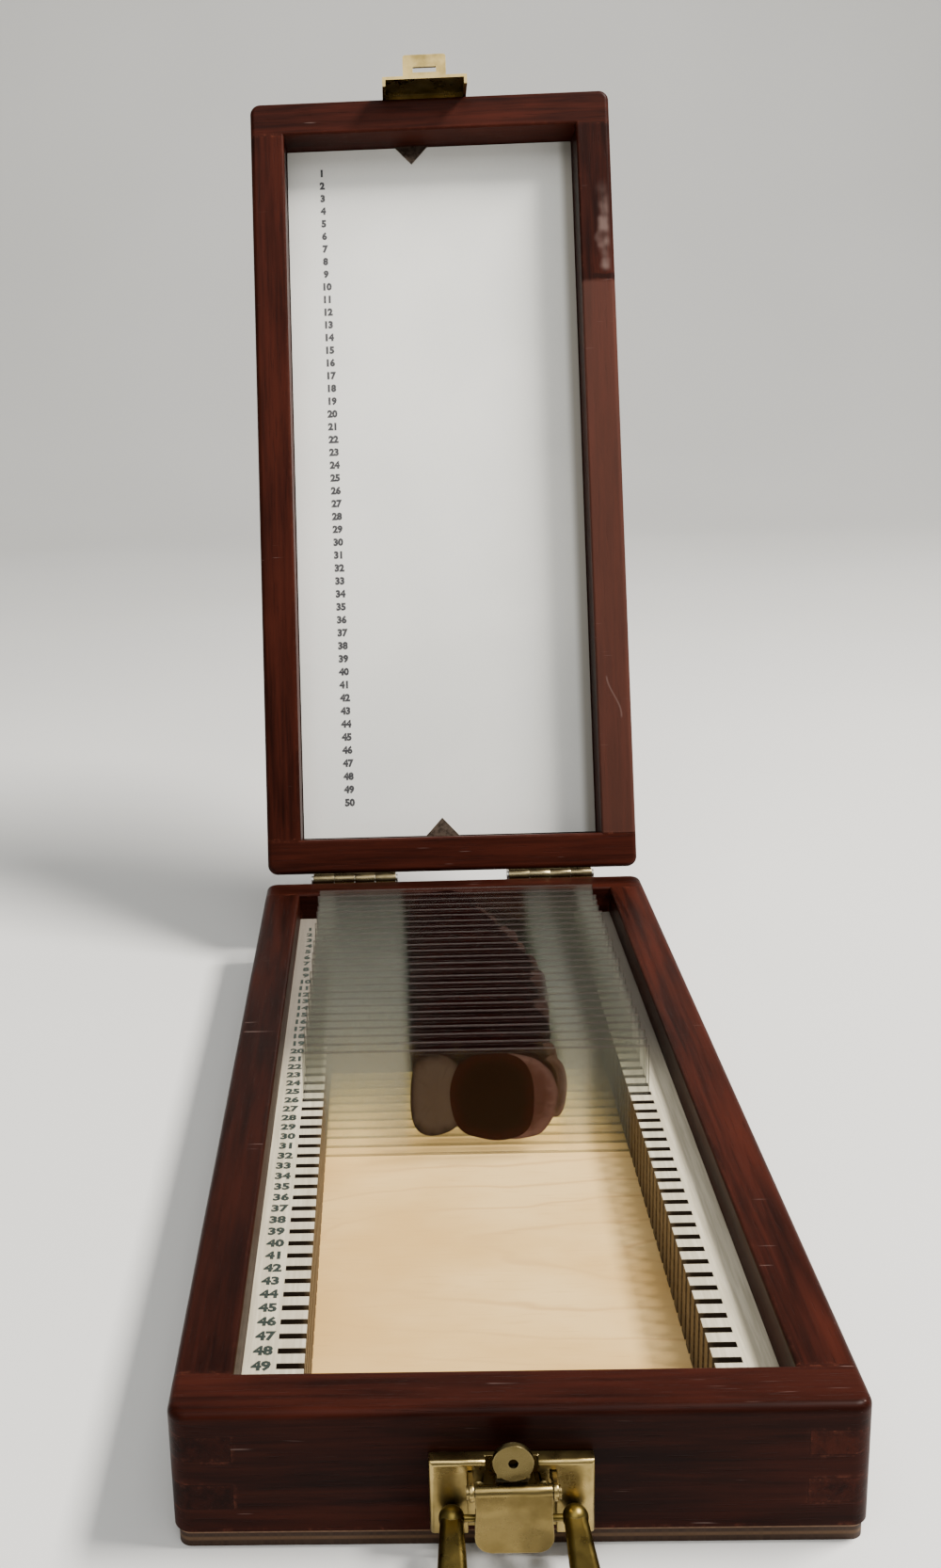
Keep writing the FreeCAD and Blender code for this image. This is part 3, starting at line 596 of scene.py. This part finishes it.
def make_slides():
    panes = (clear_glass("glass_clear_a", True), clear_glass("glass_clear_b", False))
    edge = ground_edge()
    stains = (tissue("tissue_core", (0.0060, 0.0010, 0.0004, 1), (0.020, 0.0036, 0.0024, 1), 0.985),
              tissue("tissue_rim", (0.068, 0.027, 0.023, 1), (0.15, 0.080, 0.072, 1), 0.80),
              tissue("tissue_film", (0.095, 0.069, 0.055, 1), (0.045, 0.030, 0.026, 1), 0.66))
    for number, name in enumerate(SLIDE_NAMES, start=1):
        slide(name, number, panes[0] if number % 5 in (0, 2) else panes[1], edge, stains)


# ---- numbers ------------------------------------------------------------------------------
def numbers(name, body, material, size, bold, place_of):
    """The numbers 1 to 50 as thin raised ink. place_of gives each number's matrix."""
    bm = bmesh.new()
    for number in range(1, SLOTS + 1):
        curve = bpy.data.curves.new("digits", "FONT")
        curve.body = str(number)
        curve.size = size
        curve.align_x, curve.align_y = "CENTER", "CENTER"
        curve.resolution_u = 2
        curve.extrude = INK
        curve.offset = bold
        text = bpy.data.objects.new("digits", curve)
        bpy.context.scene.collection.objects.link(text)
        mesh = bpy.data.meshes.new_from_object(text)
        mesh.transform(place_of(number))
        bm.from_mesh(mesh)
        bpy.data.objects.remove(text)
        bpy.data.meshes.remove(mesh)
        bpy.data.curves.remove(curve)
    mesh = bpy.data.meshes.new(name)
    bm.to_mesh(mesh)
    bm.free()
    return new_object(name, mesh, body, (material,))


def slot_y(number):
    """The middle of a slot. Slot 50 is at the front."""
    return FRONT_Y + LAST_SLOT + (SLOTS - number) * SLOT_PITCH


def rack_number_place(number):
    """Beside a slot of the left rack, stamped slightly out of line."""
    wander = 0.10 * MM * math.sin(5.1 * number)
    return Matrix.Translation((RACK_NUMBER_X + wander, slot_y(number), RACK_HIGH.z + INK))


def card_number_place(number):
    """In a straight column, slightly out of square with the lid: placed with the lid shut, then opened."""
    share = (number - 1) / (SLOTS - 1)
    first, last = Vector((-33.2, -98.9, 0)) * MM, Vector((-29.7, 95.5, 0)) * MM
    gap = 0.003 * MM
    at = first.lerp(last, share) + Vector((0, 0, CARD_SHUT_Z - INK - gap))
    flip = Matrix.Rotation(math.pi, 4, "X")
    opened = Matrix.Translation(HINGE) @ Matrix.Rotation(-LID_ANGLE, 4, "X") @ Matrix.Translation(-HINGE)
    return opened @ Matrix.Translation(at) @ flip


def make_numbers():
    stamped = ink("stamp_ink", (0.008, 0.017, 0.013, 1), (0.05, 0.06, 0.045, 1))
    numbers("rack_numbers", "base", stamped, 3.2 * MM, 0.17 * MM, rack_number_place)
    printed = ink("print_ink", (0.03, 0.03, 0.035, 1), (0.16, 0.16, 0.155, 1))
    numbers("card_numbers", "lid", printed, 2.9 * MM, 0.19 * MM, card_number_place)


# ---- CAD nodes ----------------------------------------------------------------------------
def soften(name, width):
    """Rounds a CAD piece's sharp edges a little, so that they catch the light."""
    piece = nodes[name]
    weld = piece.modifiers.new("weld", "WELD")
    weld.merge_threshold = 0.002 * MM
    bevel = piece.modifiers.new("bevel", "BEVEL")
    bevel.width = width
    bevel.segments = 2
    bevel.limit_method = "ANGLE"
    bevel.angle_limit = math.radians(35)
    bevel.use_clamp_overlap = True


def paint(name, material):
    piece = nodes[name]
    piece.data.materials.clear()
    piece.data.materials.append(material)


def paint_wood():
    for i, (side, axis) in enumerate((("front", 0), ("back", 0), ("left", 1), ("right", 1))):
        stain = stained_wood("stain_base_" + side, axis, seed=1.0 + i, painted_light=BOARD_PAINTED_LIGHT[side])
        paint("base_" + side, stain)
        stain = stained_wood("stain_lid_" + side, axis, lid=True, seed=6.0 + i, worn=side == "right")
        paint("lid_" + side, stain)
    paint("lid_panel", stained_wood("stain_lid_panel", 1, lid=True, seed=11.0))
    paint("base_bottom", birch_plywood())
    rack = rack_wood()
    for side in ("left", "right"):
        paint("rack_" + side, rack)
        soften("rack_" + side, 0.12 * MM)
    paint("index_card", card_stock())


def paint_metal():
    finishes = (
        (brass("brass_bright", (0.37, 0.275, 0.105, 1), (0.17, 0.125, 0.030, 1)),
         ("latch_plate", "plate_nails", "latch_strike", "strike_nails")),
        # the lever's darker copy of the brass is a painted dark reflection
        (brass("brass_lever_painted_dark", (0.225, 0.165, 0.060, 1), (0.13, 0.093, 0.027, 1)),
         ("latch_lever", "lever_pin")),
        (brass("brass_dull", (0.175, 0.127, 0.035, 1), (0.095, 0.066, 0.012, 1)),
         ("latch_bail", "bail_rivets")),
        # the eye's darker copy of the brass is painted shade
        (brass("brass_eye_painted_shade", (0.120, 0.092, 0.036, 1), (0.080, 0.056, 0.014, 1)),
         ("latch_eye",)),
        (brass("brass_aged", (0.18, 0.145, 0.078, 1), (0.075, 0.055, 0.024, 1)),
         ("hinge_lower_left", "hinge_lower_right", "hinge_screws_lower",
          "hinge_upper_left", "hinge_upper_right", "hinge_screws_upper")))
    for metal, names in finishes:
        for name in names:
            paint(name, metal)
    for name in ("latch_plate", "latch_eye", "latch_lever", "latch_strike"):
        soften(name, 0.14 * MM)
    for name in ("hinge_lower_left", "hinge_lower_right", "hinge_upper_left", "hinge_upper_right"):
        soften(name, 0.10 * MM)
    steel = dull_metal("steel", (0.42, 0.41, 0.39, 1), (0.20, 0.19, 0.17, 1), 0.38)
    for name in ("bottom_brads", "hinge_pin_left", "hinge_pin_right"):
        paint(name, steel)
    paint("card_points", dull_metal("dark_point", (0.16, 0.12, 0.09, 1), (0.06, 0.045, 0.035, 1), 0.45))


# ---- stage --------------------------------------------------------------------------------
def stage():
    """A pale sweep: a floor that curves up into a wall well behind the box."""
    g = Graph("pale_sweep")
    cloud = g.noise(g.place(), 3.0, 2, 0.5)
    colour = g.mix(g.fit(cloud, 0.3, 0.7), (0.70, 0.70, 0.685, 1), (0.74, 0.74, 0.725, 1))
    material = g.done(g.principled(Base_Color=colour, Roughness=0.7))
    half, front, back, top = 4.0, -4.0, 1.0, 3.0
    bend, steps = 0.5, 24
    line = [(front, 0.0), (back, 0.0)]
    line += [(back + bend * math.sin(a), bend - bend * math.cos(a))
             for a in (math.pi / 2 * i / steps for i in range(1, steps + 1))]
    line.append((back + bend, top))
    bm = bmesh.new()
    rows = [[bm.verts.new((x, y, z)) for x in (-half, half)] for y, z in line]
    for lower, upper in zip(rows, rows[1:]):
        bm.faces.new((lower[0], lower[1], upper[1], upper[0])).smooth = True
    mesh = bpy.data.meshes.new("sweep")
    bm.to_mesh(mesh)
    bm.free()
    sweep = bpy.data.objects.new("sweep", mesh)
    mesh.materials.append(material)
    bpy.context.scene.collection.objects.link(sweep)


def area_light(name, at, aim, size, power, colour):
    """A soft box: size is its level width and its height, in metres."""
    light = bpy.data.lights.new(name, "AREA")
    light.shape = "RECTANGLE"
    light.size, light.size_y = size
    light.energy = power
    light.color = colour
    lamp = bpy.data.objects.new(name, light)
    lamp.location = at
    lamp.rotation_euler = (Vector(aim) - Vector(at)).to_track_quat("-Z", "Y").to_euler()
    bpy.context.scene.collection.objects.link(lamp)


def lights():
    area_light("key", (0.58, -0.01, 0.95), (0, 0.02, 0.02), (0.42, 0.20), 29.0, (1.0, 0.955, 0.89))
    area_light("fill", (-0.10, -0.70, 1.35), (0, 0.05, 0.08), (1.1, 1.1), 12.0, (1.0, 0.99, 0.965))
    world = bpy.data.worlds.new("world")
    world.use_nodes = True
    world.node_tree.nodes["Background"].inputs["Color"].default_value = (0.92, 0.93, 0.92, 1)
    world.node_tree.nodes["Background"].inputs["Strength"].default_value = 0.34
    bpy.context.scene.world = world


def camera():
    """The viewing place: in front of the box, a little left, looking down on it."""
    at = Vector((-15.99, -327.02, 188.04)) * MM
    yaw, pitch, roll = (math.radians(a) for a in (-2.13, 14.54, -2.17))
    ahead = Vector((math.sin(yaw) * math.cos(pitch), math.cos(yaw) * math.cos(pitch), -math.sin(pitch)))
    level = Vector((math.cos(yaw), -math.sin(yaw), 0))
    above = level.cross(ahead)
    right = level * math.cos(roll) + above * math.sin(roll)
    up = above * math.cos(roll) - level * math.sin(roll)
    data = bpy.data.cameras.new("camera")
    data.sensor_width = 36.0
    data.lens = 36.96
    data.shift_x, data.shift_y = 0.0864, -0.0398
    data.clip_start, data.clip_end = 0.01, 20.0
    eye = bpy.data.objects.new("camera", data)
    eye.matrix_world = Matrix.Translation(at) @ Matrix((right, up, -ahead)).transposed().to_4x4()
    bpy.context.scene.collection.objects.link(eye)
    bpy.context.scene.camera = eye


paint_wood()
paint_metal()
make_slides()
make_numbers()
stage()
lights()
camera()
